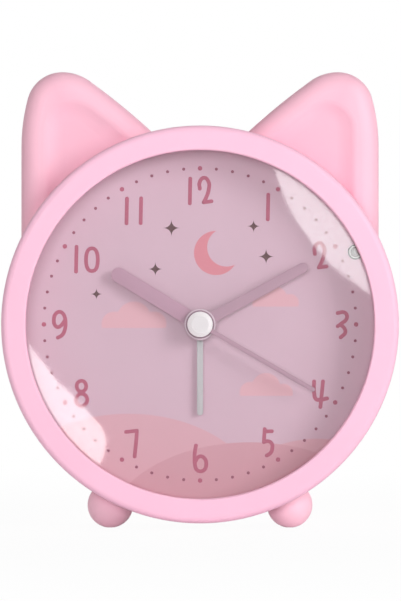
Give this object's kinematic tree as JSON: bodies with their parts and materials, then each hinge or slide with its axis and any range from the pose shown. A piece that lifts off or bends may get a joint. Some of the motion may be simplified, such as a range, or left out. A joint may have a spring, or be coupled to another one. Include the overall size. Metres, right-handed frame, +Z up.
{
  "type": "kids alarm clock",
  "caption": "Round bedside alarm clock with two cat-ear shapes, wide bezel, domed lens, ball feet and a quartz movement driving hour, minute, second and alarm hands.",
  "frame": {"origin": "on the ground under the middle of the clock", "axes": "+Z up, the dial faces -Y, +X to the right as seen from the front"},
  "size_m": [0.11, 0.0516, 0.1279],
  "materials": {
    "pink_plastic": "satin moulded plastic",
    "lens_clear": "clear polished plastic",
    "dial_card": "printed matt card",
    "hand_mauve": "satin paint",
    "hand_grey": "satin paint",
    "cap_white": "gloss",
    "lamp_clear": "clear",
    "holder_grey": "gloss",
    "control_rose": "satin moulded plastic",
    "movement_black": "matt",
    "movement_grey": "matt",
    "gear_white": "matt acetal",
    "magnet_dark": "sintered",
    "steel": "plated",
    "copper": "enamelled wire",
    "board_green": "solder mask",
    "component_black": "matt",
    "battery_can": "printed sleeve",
    "lead_cover": "soft insulation"
  },
  "bodies": {
    "case": {"bezel": "pink_plastic", "front_case": "pink_plastic", "rear_case": "pink_plastic", "foot_front_left": "pink_plastic", "foot_front_right": "pink_plastic", "foot_rear_left": "pink_plastic", "foot_rear_right": "pink_plastic", "lens": "lens_clear", "dial": "dial_card", "night_light_lamp": "lamp_clear", "lamp_holder": "holder_grey", "movement_tray": "movement_black", "movement_cover": "movement_black", "movement_plate": "movement_grey", "coil_bobbin": "gear_white", "stator": "steel", "coil_core": "steel", "quartz_crystal": "steel", "battery_contact_positive": "steel", "battery_contact_negative": "steel", "case_screws": "steel", "movement_screws": "steel", "coil_winding": "copper", "circuit_board": "board_green", "light_board": "board_green", "controller_chip": "component_black", "buzzer": "component_black", "alarm_switch_body": "component_black", "tact_switch": "component_black", "aa_battery": "battery_can", "lamp_lead": "lead_cover", "supply_lead": "lead_cover", "buzzer_lead": "lead_cover", "switch_lead": "lead_cover"},
    "second": {"second_wheel": "gear_white", "second_hand": "hand_mauve", "hub_cap": "cap_white"},
    "third": {"third_wheel": "gear_white"},
    "centre": {"centre_wheel": "gear_white"},
    "fifth": {"fifth_wheel": "gear_white"},
    "rotor": {"rotor_pinion": "gear_white", "rotor_magnet": "magnet_dark"},
    "minute": {"minute_pipe": "gear_white", "minute_hand": "hand_mauve"},
    "minute_work": {"minute_wheel": "gear_white"},
    "hour": {"hour_wheel": "gear_white", "hour_hand": "hand_mauve"},
    "time_setter": {"time_arbor": "gear_white", "time_knob": "control_rose"},
    "alarm": {"alarm_wheel": "gear_white", "alarm_hand": "hand_grey"},
    "alarm_setter": {"alarm_arbor": "gear_white", "alarm_knob": "control_rose"},
    "alarm_slider": {"alarm_switch_slider": "control_rose"},
    "snooze": {"snooze_button": "pink_plastic", "tact_plunger": "component_black"},
    "door": {"battery_door": "pink_plastic"}
  },
  "joints": [
    {"name": "second_turn", "type": "hinge", "parent": "case", "child": "second", "pos_m": [0, -0.00015, 0.057], "axis": [0, 1, 0], "continuous": true},
    {"name": "third_turn", "type": "hinge", "parent": "case", "child": "third", "pos_m": [0, -0.00155, 0.0475], "axis": [0, 1, 0], "continuous": true},
    {"name": "centre_turn", "type": "hinge", "parent": "case", "child": "centre", "pos_m": [0, -0.00295, 0.057], "axis": [0, 1, 0], "continuous": true},
    {"name": "fifth_turn", "type": "hinge", "parent": "case", "child": "fifth", "pos_m": [0, -0.00155, 0.0668], "axis": [0, 1, 0], "continuous": true},
    {"name": "rotor_turn", "type": "hinge", "parent": "case", "child": "rotor", "pos_m": [0, -0.00155, 0.0738], "axis": [0, 1, 0], "continuous": true},
    {"name": "minute_turn", "type": "hinge", "parent": "case", "child": "minute", "pos_m": [0, -0.00435, 0.057], "axis": [0, 1, 0], "continuous": true},
    {"name": "minute_work_turn", "type": "hinge", "parent": "case", "child": "minute_work", "pos_m": [0.0075, -0.00435, 0.057], "axis": [0, 1, 0], "continuous": true},
    {"name": "hour_turn", "type": "hinge", "parent": "case", "child": "hour", "pos_m": [0, -0.00575, 0.057], "axis": [0, 1, 0], "continuous": true},
    {"name": "time_knob_turn", "type": "hinge", "parent": "case", "child": "time_setter", "pos_m": [0.01562, 0.02215, 0.057], "axis": [0, 1, 0], "continuous": true},
    {"name": "alarm_turn", "type": "hinge", "parent": "case", "child": "alarm", "pos_m": [0, -0.00835, 0.057], "axis": [0, 1, 0], "continuous": true},
    {"name": "alarm_knob_turn", "type": "hinge", "parent": "case", "child": "alarm_setter", "pos_m": [-0.01562, 0.02215, 0.057], "axis": [0, 1, 0], "continuous": true},
    {"name": "alarm_switch_slide", "type": "slide", "parent": "case", "child": "alarm_slider", "axis": [1, 0, 0], "range_m": [0, 0.004]},
    {"name": "snooze_press", "type": "slide", "parent": "case", "child": "snooze", "axis": [0, 0, -1], "range_m": [0, 0.0006], "stiffness_N_per_m": 400, "springref_m": -0.0005},
    {"name": "battery_door_pull", "type": "slide", "parent": "case", "child": "door", "axis": [0, 1, 0], "range_m": [0, 0.02]}
  ],
  "couplings": [
    {"joint": "third_turn", "follows": "second_turn", "ratio": -0.13333},
    {"joint": "centre_turn", "follows": "second_turn", "ratio": 0.016667},
    {"joint": "fifth_turn", "follows": "second_turn", "ratio": -5},
    {"joint": "rotor_turn", "follows": "second_turn", "ratio": 30},
    {"joint": "minute_work_turn", "follows": "minute_turn", "ratio": -0.33333},
    {"joint": "hour_turn", "follows": "minute_turn", "ratio": 0.083333},
    {"joint": "time_knob_turn", "follows": "minute_turn", "ratio": 0.75},
    {"joint": "alarm_knob_turn", "follows": "alarm_turn", "ratio": -3}
  ]
}
